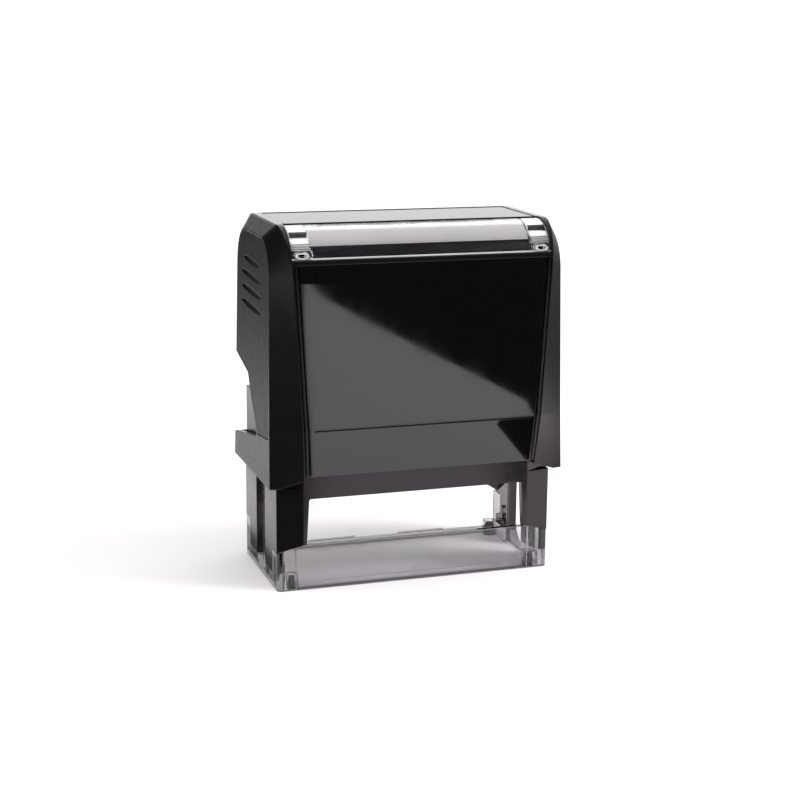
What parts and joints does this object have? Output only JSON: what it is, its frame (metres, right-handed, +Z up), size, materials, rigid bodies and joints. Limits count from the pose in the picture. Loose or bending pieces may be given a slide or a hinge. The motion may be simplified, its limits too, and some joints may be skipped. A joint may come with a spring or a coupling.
{
  "type": "self-inking stamp",
  "caption": "Self-inking stamp: black cap with gloss front panel sliding on a frame in a clear base, turning text plate, sliding ink pad and index window.",
  "frame": {"origin": "centre of the base on the paper plane", "axes": "+X along the stamp's width, -Y is the front with the gloss panel, +Z up"},
  "size_m": [0.0702, 0.041, 0.083],
  "materials": {
    "clear_smoke": "clear smoke-grey moulded plastic",
    "rubber_foot": "soft black rubber",
    "frame_black": "fine-textured black plastic",
    "cap_black": "satin black plastic",
    "panel_gloss": "high-gloss black plastic",
    "grip_black": "soft-touch black plastic",
    "window_clear": "clear plastic",
    "card_white": "blank index card",
    "bow_black": "black plastic",
    "bush_grey": "dark grey acetal",
    "spring_steel": "drawn spring wire",
    "carrier_grey": "dark grey plastic",
    "pin_steel": "ground steel",
    "cushion_foam": "foam cushion",
    "text_rubber": "laser-cut stamp rubber",
    "tray_black": "black plastic",
    "ink_felt": "ink-soaked felt"
  },
  "bodies": {
    "frame": {"clear_base": "clear_smoke", "corner_feet": "rubber_foot", "stamp_frame": "frame_black", "left_return_spring": "spring_steel", "right_return_spring": "spring_steel"},
    "cap": {"cap_shell": "cap_black", "front_panel": "panel_gloss", "roof_panel": "panel_gloss", "left_grip_panel": "grip_black", "right_grip_panel": "grip_black", "index_card": "card_white", "drive_bow": "bow_black", "left_guide_bush": "bush_grey", "right_guide_bush": "bush_grey"},
    "window": {"index_window": "window_clear"},
    "plate": {"die_carrier": "carrier_grey", "left_axle_pin": "pin_steel", "right_axle_pin": "pin_steel", "die_cushion": "cushion_foam", "text_plate": "text_rubber"},
    "cartridge": {"pad_tray": "tray_black", "ink_pad": "ink_felt", "pad_grip": "tray_black"}
  },
  "joints": [
    {"name": "cap_press", "type": "slide", "parent": "frame", "child": "cap", "axis": [0, 0, -1], "range_m": [0, 0.023], "stiffness_N_per_m": 200, "springref_m": -0.01, "deforming": ["left_return_spring", "right_return_spring"]},
    {"name": "plate_flip", "type": "hinge", "parent": "cap", "child": "plate", "pos_m": [0, 0, 0.0279], "axis": [1, 0, 0], "range_deg": [0, 180]},
    {"name": "cartridge_slide", "type": "slide", "parent": "frame", "child": "cartridge", "axis": [0, 1, 0], "range_m": [0, 0.03]},
    {"name": "window_lift", "type": "slide", "parent": "cap", "child": "window", "axis": [0, -0.6, 0.8], "range_m": [0, 0.012]}
  ],
  "couplings": [
    {"joint": "plate_flip", "follows": "cap_press", "rad_per_m": 136.59}
  ]
}
